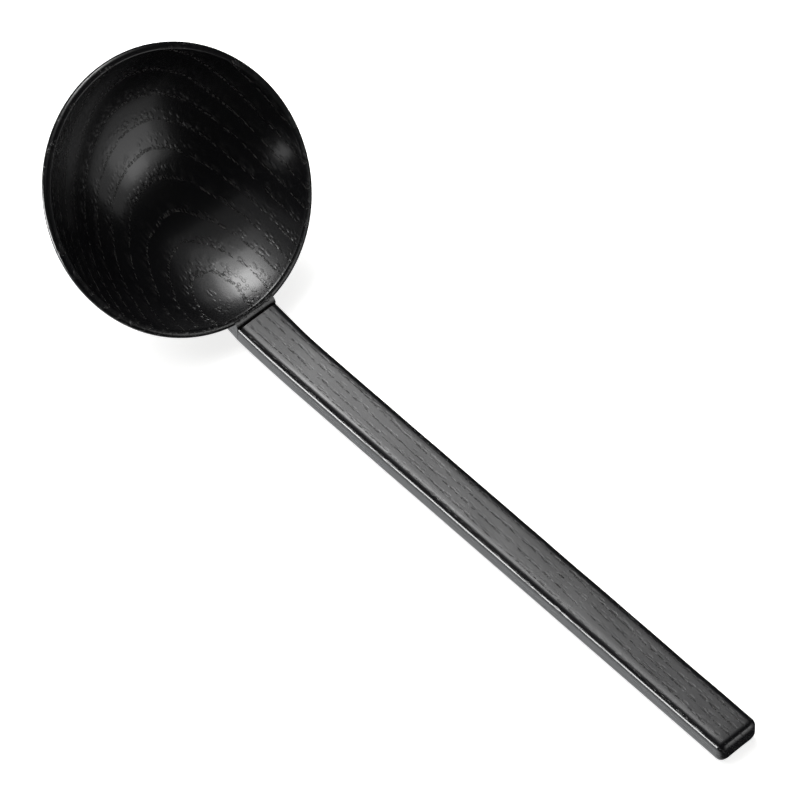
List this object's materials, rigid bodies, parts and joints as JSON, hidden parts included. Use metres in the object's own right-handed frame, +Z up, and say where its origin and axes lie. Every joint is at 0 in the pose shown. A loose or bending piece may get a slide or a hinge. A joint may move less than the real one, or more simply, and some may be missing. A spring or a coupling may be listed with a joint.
{
  "type": "wooden serving ladle",
  "caption": "Black lacquered wooden ladle with a round bowl and a straight square-edged handle, lying flat on the underside of its handle.",
  "frame": {"origin": "on the table under the middle of the ladle's length and width", "axes": "+Z up from the table, +X along the straight handle from the bowl to its end, +Y across it"},
  "size_m": [0.2348, 0.076, 0.0607],
  "materials": {
    "bowl_lacquer": "open-grained wood under thin black gloss lacquer",
    "handle_lacquer": "open-grained wood under thin black semi-gloss lacquer",
    "wood_glue": "cured dark glue film"
  },
  "bodies": {
    "root": {"bowl": "bowl_lacquer", "handle": "handle_lacquer", "glue_line": "wood_glue"}
  },
  "joints": []
}
